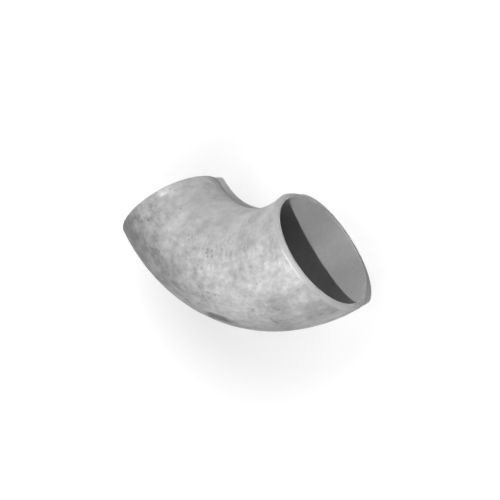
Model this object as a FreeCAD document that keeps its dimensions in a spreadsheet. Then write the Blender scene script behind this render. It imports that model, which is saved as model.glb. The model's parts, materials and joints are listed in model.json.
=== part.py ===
import FreeCAD, Part
import math
import os
import Sketcher

# Butt-weld pipe elbow, 90 degrees, long radius, nominal size DN 32 (1 1/4 inch).
# One seamless tube: a bend with a short straight, bevelled welding end at each port.
#
# Row frame, millimetres, +Z up with the elbow lying on its side:
#   origin        centre of port A's face
#   port A        opens towards -X
#   port B        opens towards +Y, its face centred on (centre_to_end, centre_to_end, 0)
#   bend plane    XY; the bend's axis is parallel to Z

DIMENSIONS = [
    ("outside_diameter", 42.4, "outside diameter of the tube"),
    ("wall", 2.0, "wall thickness"),
    ("centre_to_end", 48.0, "crossing of the port axes to either port's face"),
    ("straight_end", 2.2, "length of the straight stretch behind each face"),
    ("bevel_angle", 30.0, "weld bevel, degrees from the plane of the face"),
    ("root_face", 0.8, "flat land left between the bore and the bevel"),
]
BEND_ANGLE = 90.0

# Expressions shared by the features below, in terms of the sheet's cells.
OUTER_RADIUS = "Sizes.outside_diameter / 2"
BORE_RADIUS = "Sizes.outside_diameter / 2 - Sizes.wall"
BEND_RADIUS = "Sizes.centre_to_end - Sizes.straight_end"
ROOT_RADIUS = "Sizes.outside_diameter / 2 - Sizes.wall + Sizes.root_face"
BEVEL_LENGTH = "(Sizes.wall - Sizes.root_face) * tan(Sizes.bevel_angle * 1 deg)"


def make_sheet(doc):
    """The driving dimensions, one row each: name, value, meaning."""
    sheet = doc.addObject("Spreadsheet::Sheet", "Sizes")
    for row, (alias, value, meaning) in enumerate(DIMENSIONS, start=1):
        sheet.set(f"A{row}", alias)
        sheet.set(f"B{row}", str(value))
        sheet.set(f"C{row}", meaning)
        sheet.setAlias(f"B{row}", alias)
    doc.recompute()
    return sheet


def origin_plane(body, role):
    return next(f for f in body.Origin.OriginFeatures if f.Role == role)


def new_sketch(body, name, role):
    sketch = body.newObject("Sketcher::SketchObject", name)
    sketch.AttachmentSupport = [(origin_plane(body, role), "")]
    sketch.MapMode = "FlatFace"
    return sketch


def distance(sketch, kind, name, expression, *geometry, start=1.0):
    """Add a named dimension whose value follows an expression on the sheet."""
    sketch.addConstraint(Sketcher.Constraint(kind, *geometry, start))
    sketch.renameConstraint(sketch.ConstraintCount - 1, name)
    sketch.setExpression(f"Constraints.{name}", expression)


def add_bend(body, sheet):
    """The curved tube: its ring section turned through 90 degrees about the bend's axis."""
    bend_radius = sheet.centre_to_end - sheet.straight_end
    outer = sheet.outside_diameter / 2
    bore = outer - sheet.wall
    sketch = new_sketch(body, "BendSection", "YZ_Plane")
    sketch.setExpression("AttachmentOffset.Base.z", "Sizes.straight_end")

    up = FreeCAD.Vector(0, 0, 1)
    centre = FreeCAD.Vector(0, 0, 0)
    outer_circle = sketch.addGeometry(Part.Circle(centre, up, outer), False)
    bore_circle = sketch.addGeometry(Part.Circle(centre, up, bore), False)
    axis = sketch.addGeometry(
        Part.LineSegment(FreeCAD.Vector(bend_radius, 0, 0), FreeCAD.Vector(bend_radius, outer, 0)), True)
    sketch.addConstraint(Sketcher.Constraint("Coincident", outer_circle, 3, -1, 1))
    sketch.addConstraint(Sketcher.Constraint("Coincident", bore_circle, 3, -1, 1))
    sketch.addConstraint(Sketcher.Constraint("Vertical", axis))
    sketch.addConstraint(Sketcher.Constraint("PointOnObject", axis, 1, -1))
    distance(sketch, "Radius", "outer_radius", OUTER_RADIUS, outer_circle, start=outer)
    distance(sketch, "Radius", "bore_radius", BORE_RADIUS, bore_circle, start=bore)
    distance(sketch, "DistanceX", "bend_radius", BEND_RADIUS, -1, 1, axis, 1, start=bend_radius)
    distance(sketch, "DistanceY", "axis_length", OUTER_RADIUS, axis, 1, axis, 2, start=outer)

    bend = body.newObject("PartDesign::Revolution", "Bend")
    bend.Profile = sketch
    bend.ReferenceAxis = (sketch, ["Axis0"])
    bend.Angle = BEND_ANGLE
    return bend


def add_welding_end(body, sheet, name, axis_offset, face_offset, inward):
    """A straight end with its weld bevel: half of its wall's section, turned about the port's axis.

    The section is drawn in the XY plane for a port that opens along -X when inward is "x",
    and along +Y when inward is "y". axis_offset and face_offset are expressions, or None
    for zero, for where the port's axis and its face lie.
    """
    outer = sheet.outside_diameter / 2
    bore = outer - sheet.wall
    root = bore + sheet.root_face
    bevel = (sheet.wall - sheet.root_face) * math.tan(math.radians(sheet.bevel_angle))
    straight = sheet.straight_end

    sketch = new_sketch(body, f"{name}Section", "XY_Plane")
    if inward == "y":
        # Local x points down the port (-Y) and local y away from its axis (+X).
        turn = FreeCAD.Rotation(FreeCAD.Vector(0, -1, 0), FreeCAD.Vector(1, 0, 0), FreeCAD.Vector(0, 0, 1))
        sketch.AttachmentOffset = FreeCAD.Placement(FreeCAD.Vector(0, 0, 0), turn)
    if axis_offset:
        sketch.setExpression("AttachmentOffset.Base.x", axis_offset)
    if face_offset:
        sketch.setExpression("AttachmentOffset.Base.y", face_offset)

    corners = [(0, bore), (0, root), (bevel, outer), (straight, outer), (straight, bore)]
    points = [FreeCAD.Vector(along, radius, 0) for along, radius in corners]
    lines = []
    for first, second in zip(points, points[1:] + points[:1]):
        lines.append(sketch.addGeometry(Part.LineSegment(first, second), False))
    face, weld_bevel, outside, back, inside = lines
    for first, second in zip(lines, lines[1:] + lines[:1]):
        sketch.addConstraint(Sketcher.Constraint("Coincident", first, 2, second, 1))
    sketch.addConstraint(Sketcher.Constraint("Vertical", back))
    sketch.addConstraint(Sketcher.Constraint("Horizontal", outside))
    sketch.addConstraint(Sketcher.Constraint("Horizontal", inside))
    sketch.addConstraint(Sketcher.Constraint("PointOnObject", face, 1, -2))
    sketch.addConstraint(Sketcher.Constraint("PointOnObject", face, 2, -2))
    distance(sketch, "DistanceY", "bore_radius", BORE_RADIUS, -1, 1, face, 1, start=bore)
    distance(sketch, "DistanceY", "root_radius", ROOT_RADIUS, -1, 1, face, 2, start=root)
    distance(sketch, "DistanceY", "outer_radius", OUTER_RADIUS, -1, 1, outside, 1, start=outer)
    distance(sketch, "DistanceX", "bevel_length", BEVEL_LENGTH, -1, 1, weld_bevel, 2, start=bevel)
    distance(sketch, "DistanceX", "straight_end", "Sizes.straight_end", -1, 1, back, 1, start=straight)

    end = body.newObject("PartDesign::Revolution", name)
    end.Profile = sketch
    end.ReferenceAxis = (sketch, ["H_Axis"])
    end.Angle = 360.0
    return end


def check_document(doc):
    doc.recompute()
    for item in doc.Objects:
        if "Invalid" in item.State or "Error" in item.State:
            raise RuntimeError(f"{item.Name} failed: {item.State}")


def expected_volume(sheet):
    """Section area times centre-line length, less the two bevels' rings (Pappus)."""
    outer = sheet.outside_diameter / 2
    bore = outer - sheet.wall
    bend_radius = sheet.centre_to_end - sheet.straight_end
    length = math.radians(BEND_ANGLE) * bend_radius + 2 * sheet.straight_end
    height = sheet.wall - sheet.root_face
    bevel = height * math.tan(math.radians(sheet.bevel_angle))
    ring = math.pi * (outer - height / 3) * height * bevel
    return math.pi * (outer ** 2 - bore ** 2) * length - 2 * ring


def main():
    doc = FreeCAD.newDocument("pipe_elbow")
    sheet = make_sheet(doc)
    body = doc.addObject("PartDesign::Body", "ElbowBody")
    body.Label = "elbow_body"
    add_bend(body, sheet)
    add_welding_end(body, sheet, "PortA", None, None, "x")
    add_welding_end(body, sheet, "PortB", "Sizes.centre_to_end", "Sizes.centre_to_end", "y")
    check_document(doc)

    shape = body.Shape
    if shape.isNull() or not shape.isValid() or len(shape.Solids) != 1:
        raise RuntimeError("elbow_body is not one valid solid")
    expected = expected_volume(sheet)
    if abs(shape.Volume - expected) > 1e-4 * expected:
        raise RuntimeError(f"volume {shape.Volume:.1f} is not {expected:.1f} cubic mm")

    os.makedirs("parts", exist_ok=True)
    shape.exportStep(os.path.join("parts", f"{body.Label}.step"))
    box = shape.optimalBoundingBox()
    print(f"{body.Label}: {shape.Volume:.1f} cubic mm, {len(shape.Faces)} faces")
    print(f"x {box.XMin:.2f} to {box.XMax:.2f}, y {box.YMin:.2f} to {box.YMax:.2f}, "
          f"z {box.ZMin:.2f} to {box.ZMax:.2f}")


main()
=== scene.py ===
"""Looks of a butt-weld pipe elbow: one bent steel tube with bevelled ends, lying on its side.

Frame, metres, +Z up: port A's face centre is the origin and opens along -X, port B opens along +Y,
and the bend plane is z = 0. Lengths below are in millimetres unless a name says otherwise.
"""
import json
import math

import bpy
import numpy as np
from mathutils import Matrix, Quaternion, Vector, noise


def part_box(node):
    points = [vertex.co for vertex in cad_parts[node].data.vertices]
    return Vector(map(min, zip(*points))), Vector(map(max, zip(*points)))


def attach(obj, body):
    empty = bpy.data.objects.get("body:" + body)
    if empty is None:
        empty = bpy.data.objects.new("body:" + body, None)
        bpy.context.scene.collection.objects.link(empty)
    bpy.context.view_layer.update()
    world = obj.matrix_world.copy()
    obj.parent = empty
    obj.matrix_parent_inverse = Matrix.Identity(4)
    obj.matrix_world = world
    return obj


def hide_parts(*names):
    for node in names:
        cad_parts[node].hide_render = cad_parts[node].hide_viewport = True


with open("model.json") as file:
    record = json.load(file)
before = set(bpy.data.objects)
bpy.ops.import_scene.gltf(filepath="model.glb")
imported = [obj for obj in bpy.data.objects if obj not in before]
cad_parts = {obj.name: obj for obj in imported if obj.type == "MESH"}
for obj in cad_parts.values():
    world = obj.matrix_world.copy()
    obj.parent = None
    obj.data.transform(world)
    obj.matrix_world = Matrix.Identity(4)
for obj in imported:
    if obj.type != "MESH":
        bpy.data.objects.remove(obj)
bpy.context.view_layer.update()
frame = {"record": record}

MM = 0.001
NODE = "elbow_body"

# ---------------------------------------------------------------- sizes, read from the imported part
mounts = {mount["name"]: mount for mount in frame["record"]["mounts"]}
node_low, node_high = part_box(NODE)
node_middle = (node_low + node_high) / 2
OUTER_RADIUS = (node_high.z - node_low.z) / 2 / MM
BORE_RADIUS = mounts["port_a_bore"]["dims"]["r_mm"]
STRAIGHT_END = mounts["port_a_bore"]["dims"]["length_mm"]
CENTRE_TO_END = mounts["port_b_bore"]["pos_m"][0] / MM
BEND_RADIUS = CENTRE_TO_END - STRAIGHT_END
BEND_LENGTH = math.pi / 2 * BEND_RADIUS
TUBE_LENGTH = BEND_LENGTH + 2 * STRAIGHT_END
ROOT_FACE = 0.8  # flat ring left at the end, inside the bevel
BEVEL_ANGLE = math.radians(30)
BEVEL_HEIGHT = OUTER_RADIUS - BORE_RADIUS - ROOT_FACE
BEVEL_LENGTH = BEVEL_HEIGHT * math.tan(BEVEL_ANGLE)

# ---------------------------------------------------------------- mesh density
AROUND = 240
SKIN_STEP = 0.31
BORE_STEP = 0.8
EDGE_STEPS = 3
FACE_STEPS, BEVEL_STEPS = 2, 4
FACE_EDGE_RADIUS, SKIN_EDGE_RADIUS = 0.12, 0.22  # how far the wall's corners are eased


def tube_frame(along):
    """Centre-line point, direction and outward (extrados) direction at lengths along the tube."""
    turn = np.clip((along - STRAIGHT_END) / BEND_RADIUS, 0, math.pi / 2)
    before = np.minimum(along - STRAIGHT_END, 0)
    after = np.maximum(along - STRAIGHT_END - BEND_LENGTH, 0)
    zero = np.zeros_like(along)
    point = np.stack([STRAIGHT_END + BEND_RADIUS * np.sin(turn) + before,
                      BEND_RADIUS * (1 - np.cos(turn)) + after, zero], -1)
    direction = np.stack([np.cos(turn), np.sin(turn), zero], -1)
    outward = np.stack([np.sin(turn), -np.cos(turn), zero], -1)
    return point, direction, outward


def rounded(before, corner, after, radius):
    """A corner of the wall's section eased into a short curve that starts radius before it."""
    before, corner, after = map(np.array, (before, corner, after))
    start = corner + radius * (before - corner) / np.linalg.norm(before - corner)
    end = corner + radius * (after - corner) / np.linalg.norm(after - corner)
    steps = np.linspace(0, 1, EDGE_STEPS + 1)[:, None]
    return (1 - steps) ** 2 * start + 2 * steps * (1 - steps) * corner + steps ** 2 * end


def wall_section():
    """Closed outline of the wall, as (length along, radius) pairs, and the zone of each stretch."""
    length = TUBE_LENGTH
    root = BORE_RADIUS + ROOT_FACE
    corners = [
        ((0, BORE_RADIUS), FACE_EDGE_RADIUS),
        ((0, root), FACE_EDGE_RADIUS),
        ((BEVEL_LENGTH, OUTER_RADIUS), SKIN_EDGE_RADIUS),
        ((length - BEVEL_LENGTH, OUTER_RADIUS), SKIN_EDGE_RADIUS),
        ((length, root), FACE_EDGE_RADIUS),
        ((length, BORE_RADIUS), FACE_EDGE_RADIUS),
    ]
    zones = ["face", "bevel", "skin", "bevel", "face", "bore"]
    steps = {"face": FACE_STEPS, "bevel": BEVEL_STEPS,
             "skin": round(length / SKIN_STEP), "bore": round(length / BORE_STEP)}
    eased = []
    for index, (corner, radius) in enumerate(corners):
        before = corners[index - 1][0]
        after = corners[(index + 1) % len(corners)][0]
        eased.append(rounded(before, corner, after, radius))
    outline = []
    zone_of = []
    for index, zone in enumerate(zones):
        curve = eased[index]
        outline.extend(curve[:-1])
        zone_of.extend([zone] * (len(curve) - 1))
        start = curve[-1]
        end = eased[(index + 1) % len(eased)][0]
        for share in np.linspace(0, 1, steps[zone], endpoint=False):
            outline.append(start + share * (end - start))
            zone_of.append(zone)
    return np.array(outline), zone_of


# ---------------------------------------------------------------- relief of the skin
# Places on the skin: length along the tube from port A, and the angle round it from the
# outside of the bend (0) over the top (90) to the inside (180).
NICK_ALONG, NICK_ANGLE, NICK_RADIUS, NICK_DEPTH = 2.9, math.radians(130), 1.8, 0.07
SCAR_ALONG, SCAR_ANGLE, SCAR_DEPTH = 42.8, math.radians(47), 0.10
SCAR_HALF_LENGTH, SCAR_HALF_WIDTH = 5.0, 2.6
PITTED_ALONG, PITTED_ANGLE, PITTED_REACH = 45.0, math.radians(113), (9.0, 6.0, 6.0)
WAVES, DIMPLES, GRAIN = (0.05, 11.0), (0.022, 2.1), (0.012, 1.0)  # height and size of each
DIE_LINE_HEIGHT, DIE_LINE_LENGTH, DIE_LINE_WIDTH = 0.012, 40.0, 0.9
FADE_LENGTH, FADE_LEAST = 3.0, 0.15  # the relief dies down towards the machined ends


def unbent(along, angle):
    """Where a point of the skin lies on the straight tube before it is bent."""
    return Vector((along, OUTER_RADIUS * math.cos(angle), OUTER_RADIUS * math.sin(angle)))


def skin_relief(along, angle):
    """Height of the skin over the true tube, in millimetres."""
    place = unbent(along, angle)
    relief = sum(height * noise.noise(place / size) for height, size in (WAVES, DIMPLES, GRAIN))
    drawn = Vector((place.x / DIE_LINE_LENGTH, place.y / DIE_LINE_WIDTH, place.z / DIE_LINE_WIDTH))
    die_lines = DIE_LINE_HEIGHT * noise.noise(drawn)
    nick_reach = (place - unbent(NICK_ALONG, NICK_ANGLE)).length / NICK_RADIUS
    nick = -NICK_DEPTH * max(0.0, 1 - nick_reach ** 2)
    scar_offset = place - unbent(SCAR_ALONG, SCAR_ANGLE)
    scar_reach = math.hypot(scar_offset.x / SCAR_HALF_LENGTH,
                            math.hypot(scar_offset.y, scar_offset.z) / SCAR_HALF_WIDTH)
    scar = -SCAR_DEPTH * max(0.0, 1 - scar_reach ** 2)
    return relief + die_lines + nick + scar


def build_elbow():
    outline, zone_of = wall_section()
    angles = np.linspace(-math.pi, math.pi, AROUND, endpoint=False)
    along = np.repeat(outline[:, 0], AROUND)
    radius = np.repeat(outline[:, 1], AROUND)
    angle = np.tile(angles, len(outline))
    fade = np.clip(np.minimum(along, TUBE_LENGTH - along) / FADE_LENGTH, FADE_LEAST, 1)
    relief = np.zeros(len(along))
    for index in np.flatnonzero(radius > OUTER_RADIUS - 1e-6):
        relief[index] = fade[index] * skin_relief(along[index], angle[index])
    radius = radius + relief
    point, direction, outward = tube_frame(along)
    across = np.cos(angle)[:, None] * outward
    across[:, 2] = np.sin(angle)
    vertices = (point + radius[:, None] * across) * MM

    rows = len(outline)
    row = np.repeat(np.arange(rows), AROUND)
    column = np.tile(np.arange(AROUND), rows)
    next_row = (row + 1) % rows
    next_column = (column + 1) % AROUND
    quads = np.stack([row * AROUND + column, row * AROUND + next_column,
                      next_row * AROUND + next_column, next_row * AROUND + column], 1)
    mesh = bpy.data.meshes.new("elbow_tube")
    mesh.from_pydata(vertices.tolist(), [], quads.tolist())
    straight = np.stack([along, radius * np.cos(angle), radius * np.sin(angle)], 1)
    attribute = mesh.attributes.new("straight_tube", "FLOAT_VECTOR", "POINT")
    attribute.data.foreach_set("vector", straight.astype(np.float32).ravel())
    slots = {"skin": 0, "bevel": 1, "face": 1, "bore": 2}
    of_row = np.array([slots[zone] for zone in zone_of])
    mesh.polygons.foreach_set("material_index", of_row[row])
    mesh.polygons.foreach_set("use_smooth", np.ones(len(quads), bool))
    mesh.update()
    piece = bpy.data.objects.new("elbow_tube", mesh)
    bpy.context.collection.objects.link(piece)
    return piece


# ---------------------------------------------------------------- materials
NOISE_SPAN = 0.3, 0.7  # where most of a noise node's values lie
METALLIC = 0.45
SKIN_TONE, BORE_TONE = 0.52, 0.465
PIT_DARKNESS, PIT_DEPTH, PIT_SPACING = 0.16, 0.6, 1.9  # tone, share of the bump, millimetres
SCAR_TONE, NICK_BARE_METAL_AND_GLINT = 0.42, 0.13  # a share of the skin's tone, and an amount added to it at the nick: partly bare metal, partly a painted glint
# Painted light and shade on the skin stand in for light that falls unevenly on the tube. The skin is
# darker towards port A and on the outside of the bend, and lighter towards port B.
PAINTED_SHADE_TO_PORT_A, PAINTED_LIGHT_TO_PORT_B = -0.36, 0.17
PAINTED_SHADE_OUTSIDE_BEND = 0.83  # painted shade on the outside of the bend


class Nodes:
    """A short way to write a material's nodes."""

    def __init__(self, name):
        self.material = bpy.data.materials.new(name)
        self.material.use_nodes = True
        self.tree = self.material.node_tree
        self.shader = self.tree.nodes["Principled BSDF"]

    def add(self, kind, **inputs):
        node = self.tree.nodes.new("ShaderNode" + kind)
        for key, value in inputs.items():
            self.put(node.inputs[key.replace("_", " ")], value)
        return node

    def put(self, socket, value):
        if isinstance(value, bpy.types.NodeSocket):
            self.tree.links.new(value, socket)
        else:
            socket.default_value = value

    def place(self, stretch=(1, 1, 1)):
        """The unbent tube's coordinates in millimetres, divided by stretch."""
        source = self.add("Attribute")
        source.attribute_name = "straight_tube"
        scale = tuple(1 / share for share in stretch)
        mapping = self.add("Mapping", Vector=source.outputs["Vector"], Scale=scale)
        return mapping.outputs["Vector"]

    def noise(self, size, detail=2.0, stretch=(1, 1, 1), rough=0.5):
        node = self.add("TexNoise", Vector=self.place(stretch), Scale=1 / size,
                        Detail=detail, Roughness=rough)
        return node.outputs["Fac"]

    def mottle(self, size, amount, detail=3.0, stretch=(1, 1, 1), rough=0.5):
        """Noise turned into a tone that swings by amount either way."""
        return self.spread(self.noise(size, detail, stretch, rough), *NOISE_SPAN, -amount, amount)

    def math(self, operation, *values):
        node = self.tree.nodes.new("ShaderNodeMath")
        node.operation = operation
        for socket, value in zip(node.inputs, values):
            self.put(socket, value)
        return node.outputs[0]

    def spread(self, value, low, high, to_low, to_high):
        node = self.add("MapRange", Value=value, From_Min=low, From_Max=high,
                        To_Min=to_low, To_Max=to_high)
        return node.outputs["Result"]

    def grey(self, value):
        node = self.add("CombineColor", Red=value, Green=value, Blue=value)
        return node.outputs["Color"]

    def near(self, centre, reach, soft_low, soft_high):
        """1 at a place on the skin, falling to 0 outside reach, with a ragged edge."""
        offset = self.add("VectorMath")
        offset.operation = "SUBTRACT"
        self.put(offset.inputs[0], self.place())
        offset.inputs[1].default_value = centre
        scaled = self.add("VectorMath")
        scaled.operation = "DIVIDE"
        self.put(scaled.inputs[0], offset.outputs["Vector"])
        scaled.inputs[1].default_value = reach
        length = self.add("VectorMath")
        length.operation = "LENGTH"
        self.put(length.inputs[0], scaled.outputs["Vector"])
        ragged = self.mottle(2.2, 0.22, detail=2.0)
        distance = self.math("ADD", length.outputs["Value"], ragged)
        return self.spread(distance, soft_high, soft_low, 0.0, 1.0)

    def finish_steel(self, tone, roughness, bump_strength, bump_mm, height):
        """What the three steels share."""
        bump = self.add("Bump", Strength=bump_strength, Distance=bump_mm * MM, Height=height)
        self.put(self.shader.inputs["Base Color"], self.grey(tone))
        self.put(self.shader.inputs["Metallic"], METALLIC)
        self.put(self.shader.inputs["Diffuse Roughness"], 1.0)
        self.put(self.shader.inputs["Roughness"], roughness)
        self.put(self.shader.inputs["Normal"], bump.outputs["Normal"])
        return self.material


def pit_mask(m):
    """Small round pits, thick in one place and scattered in clusters elsewhere."""
    cells = m.add("TexVoronoi", Vector=m.place(), Scale=1 / PIT_SPACING, Randomness=1.0)
    spots = m.spread(cells.outputs["Distance"], 0.16, 0.38, 1.0, 0.0)
    scattered = m.spread(m.noise(9.0, 2.0), 0.47, 0.62, 0.0, 0.7)
    thick = m.near(unbent(PITTED_ALONG, PITTED_ANGLE), PITTED_REACH, 0.4, 1.1)
    return m.math("MULTIPLY", spots, m.math("MAXIMUM", scattered, thick))


def painted_light_and_shade(m, tone, along, outward):
    """Painted shade and light: darker to port A, lighter to port B, most on the upper and lower flanks;
    darker outside the bend.
    """
    flank = m.math("MULTIPLY", m.spread(outward, -15.0, 3.0, 0.0, 1.0),
                   m.spread(outward, 9.0, 16.0, 1.0, 0.25))
    change = m.math("ADD", m.spread(along, 8.0, 46.0, PAINTED_SHADE_TO_PORT_A, 0.0),
                    m.spread(along, 46.0, 72.0, 0.0, PAINTED_LIGHT_TO_PORT_B))
    tone = m.math("MULTIPLY", tone, m.math("ADD", 1.0, m.math("MULTIPLY", flank, change)))
    return m.math("MULTIPLY", tone, m.spread(outward, 2.0, 14.0, 1.0, PAINTED_SHADE_OUTSIDE_BEND))


def skin_material():
    """Shot-blasted steel: mottled greys, clusters of small pits, faint lines along the tube."""
    m = Nodes("blasted_steel")
    place = m.add("SeparateXYZ", Vector=m.place())
    along, outward = place.outputs["X"], place.outputs["Y"]
    worn = m.spread(outward, -18.0, -7.0, 0.35, 1.0)  # smoother on the inside of the bend
    marks = [
        m.mottle(5.0, 0.09, rough=0.7),
        m.mottle(2.4, 0.09, rough=0.6),
        m.spread(m.noise(0.8, 2.0), 0.25, 0.75, -0.03, 0.03),
        m.mottle(1.0, 0.025, detail=2.0, stretch=(22, 0.8, 0.8)),
    ]
    pits = pit_mask(m)
    tone = m.math("ADD", SKIN_TONE, m.mottle(11.0, 0.08))
    for mark in marks:
        tone = m.math("ADD", tone, m.math("MULTIPLY", worn, mark))
    tone = m.math("SUBTRACT", tone, m.math("MULTIPLY", pits, PIT_DARKNESS))
    # painted light and shade along the tube and on the outside of the bend
    tone = painted_light_and_shade(m, tone, along, outward)
    scar_reach = (SCAR_HALF_LENGTH, SCAR_HALF_WIDTH, SCAR_HALF_WIDTH)
    scar = m.near(unbent(SCAR_ALONG, SCAR_ANGLE), scar_reach, 0.55, 1.1)
    tone = m.math("MULTIPLY", tone, m.spread(scar, 0.0, 1.0, 1.0, SCAR_TONE))
    nick = m.near(unbent(NICK_ALONG, NICK_ANGLE), (1.0, 1.7, 1.7), 0.5, 1.0)
    # The nick's lighter tone is partly bare metal and partly a painted glint on the dent.
    tone = m.math("ADD", tone, m.math("MULTIPLY", nick, NICK_BARE_METAL_AND_GLINT))
    height = m.math("ADD", m.math("MULTIPLY", m.noise(0.55, 3.0), 0.5),
                    m.math("MULTIPLY", m.noise(2.0, 2.0), 0.8))
    height = m.math("SUBTRACT", height, m.math("MULTIPLY", pits, PIT_DEPTH))
    roughness = m.spread(m.noise(4.0, 3.0), *NOISE_SPAN, 0.5, 0.64)
    return m.finish_steel(tone, roughness, 0.35, 0.1, height)


def machined_material():
    """The turned bevel and root face: cleaner metal with fine rings round the port, and painted light
    on the upper side.
    """
    m = Nodes("machined_steel")
    place = m.add("SeparateXYZ", Vector=m.place())
    tone_with_painted_top_light = m.spread(place.outputs["Z"], -4.0, 16.0, 0.45, 0.57)  # the machined tone with painted light: brighter on the upper side
    rings = m.noise(1.0, 2.0, stretch=(0.12, 30, 30))
    tone = m.math("ADD", m.math("ADD", tone_with_painted_top_light, m.mottle(3.0, 0.03)),
                  m.spread(rings, *NOISE_SPAN, -0.02, 0.02))
    roughness = m.spread(m.noise(2.0, 2.0), *NOISE_SPAN, 0.42, 0.52)
    return m.finish_steel(tone, roughness, 0.3, 0.05, rings)


def bore_material():
    """The inside: duller, with soft cloudy scale."""
    m = Nodes("bore_steel")
    tone = m.math("ADD", m.math("ADD", BORE_TONE, m.mottle(7.0, 0.02)), m.mottle(1.4, 0.02))
    roughness = m.spread(m.noise(3.0, 2.0), *NOISE_SPAN, 0.45, 0.55)
    return m.finish_steel(tone, roughness, 0.25, 0.1, m.noise(1.0, 3.0))


# ---------------------------------------------------------------- floor, light and camera
FLOOR_SIZE_M = 6.0
FLOOR_TONE = 0.95
# The floor glows faintly by the elbow and fully from GLOW_FAR_M out, where the lamp's light gets weak.
FLOOR_GLOW, GLOW_NEAR_M, GLOW_FAR_M = 0.05, 0.05, 0.18
LAMP_M, LAMP_SIZE_M, LAMP_POWER = (0.0596, 0.1222, 0.2186), 0.004, 0.5
FILL_DISTANCE_M, FILL_SIZE_M = 1.2, 0.9
FILLS = [  # name, azimuth, elevation, watts
    ("fill_back", 180, 20, 3.8),
    ("fill_left", 270, 45, 2.4),
    ("fill_top", 0, 70, 2.6),
    ("fill_front", 20, 15, 1.6),
]
# The room's light from below and from above, and the white that only the camera sees behind it.
ROOM_BELOW, ROOM_ABOVE, BACKDROP = 0.33, 0.0, 1.0
HORIZON_BLEND = 0.05
VIEW_AZIMUTH, VIEW_ELEVATION, VIEW_ROLL = 161.6, 52.57, -105.17
VIEW_DISTANCE_M = 0.15746
VIEW_AIM_M = Vector((0.03277, 0.01951, -0.00399))
LENS_MM, SENSOR_MM = 31.03, 36


def direction_of(azimuth, elevation):
    """Unit vector to a place seen from the object; azimuth 0 is -Y and 90 is +X."""
    a, e = math.radians(azimuth), math.radians(elevation)
    return Vector((math.sin(a) * math.cos(e), -math.cos(a) * math.cos(e), math.sin(e)))


def build_floor():
    """A plain white floor. Light from below in the room stands in for its bounce on the elbow."""
    half = FLOOR_SIZE_M / 2
    corners = [(-half, -half, 0), (half, -half, 0), (half, half, 0), (-half, half, 0)]
    mesh = bpy.data.meshes.new("floor")
    mesh.from_pydata(corners, [], [(0, 1, 2, 3)])
    floor = bpy.data.objects.new("floor", mesh)
    floor.location = (node_middle.x, node_middle.y, node_low.z)
    bpy.context.collection.objects.link(floor)
    m = Nodes("pale_floor")
    m.put(m.shader.inputs["Base Color"], (FLOOR_TONE, FLOOR_TONE, FLOOR_TONE, 1))
    m.put(m.shader.inputs["Roughness"], 0.8)
    m.put(m.shader.inputs["Specular IOR Level"], 0.0)
    m.put(m.shader.inputs["Emission Color"], (1, 1, 1, 1))
    place = m.add("TexCoord")
    length = m.add("VectorMath")
    length.operation = "LENGTH"
    m.put(length.inputs[0], place.outputs["Object"])
    glow = m.spread(length.outputs["Value"], GLOW_NEAR_M, GLOW_FAR_M, FLOOR_GLOW, 1.0)
    m.put(m.shader.inputs["Emission Strength"], glow)
    mesh.materials.append(m.material)
    floor.visible_diffuse = False
    floor.visible_glossy = False


def disk_light(name, place, size, power):
    """A round lamp at a place in metres, turned to the middle of the elbow."""
    data = bpy.data.lights.new(name, "AREA")
    data.shape = "DISK"
    data.size = size
    data.energy = power
    light = bpy.data.objects.new(name, data)
    light.location = place
    light.rotation_mode = "QUATERNION"
    light.rotation_quaternion = (place - node_middle).to_track_quat("Z", "Y")
    bpy.context.collection.objects.link(light)
    return light


def build_lights():
    """A small lamp close over the elbow draws the shadow in the bore; large soft ones fill the rest."""
    lamp = disk_light("lamp", Vector(LAMP_M), LAMP_SIZE_M, LAMP_POWER)
    lamp.visible_camera = False
    for name, azimuth, elevation, power in FILLS:
        place = node_middle + direction_of(azimuth, elevation) * FILL_DISTANCE_M
        disk_light(name, place, FILL_SIZE_M, power)
    world = bpy.data.worlds.new("studio")
    world.use_nodes = True
    tree = world.node_tree
    background = tree.nodes["Background"]
    background.inputs["Color"].default_value = (1, 1, 1, 1)
    ways = tree.nodes.new("ShaderNodeTexCoord")
    height = tree.nodes.new("ShaderNodeSeparateXYZ")
    tree.links.new(ways.outputs["Generated"], height.inputs["Vector"])
    room = tree.nodes.new("ShaderNodeMapRange")
    tree.links.new(height.outputs["Z"], room.inputs["Value"])
    room.inputs["From Min"].default_value = -HORIZON_BLEND
    room.inputs["From Max"].default_value = HORIZON_BLEND
    room.inputs["To Min"].default_value = ROOM_BELOW
    room.inputs["To Max"].default_value = ROOM_ABOVE
    seen = tree.nodes.new("ShaderNodeLightPath")
    strength = tree.nodes.new("ShaderNodeMix")
    tree.links.new(seen.outputs["Is Camera Ray"], strength.inputs["Factor"])
    tree.links.new(room.outputs["Result"], strength.inputs["A"])
    strength.inputs["B"].default_value = BACKDROP
    tree.links.new(strength.outputs["Result"], background.inputs["Strength"])
    bpy.context.scene.world = world
    bpy.context.scene.view_settings.view_transform = "Standard"


def build_camera():
    data = bpy.data.cameras.new("camera")
    data.lens = LENS_MM
    data.sensor_width = SENSOR_MM
    data.clip_start = 0.01
    camera = bpy.data.objects.new("camera", data)
    back = direction_of(VIEW_AZIMUTH, VIEW_ELEVATION)
    camera.location = VIEW_AIM_M + back * VIEW_DISTANCE_M
    camera.rotation_mode = "QUATERNION"
    upright = back.to_track_quat("Z", "Y")
    camera.rotation_quaternion = upright @ Quaternion((0, 0, 1), math.radians(VIEW_ROLL))
    bpy.context.collection.objects.link(camera)
    bpy.context.scene.camera = camera


elbow = build_elbow()
for material in (skin_material(), machined_material(), bore_material()):
    elbow.data.materials.append(material)
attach(elbow, "root")
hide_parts(NODE)
build_floor()
build_lights()
build_camera()
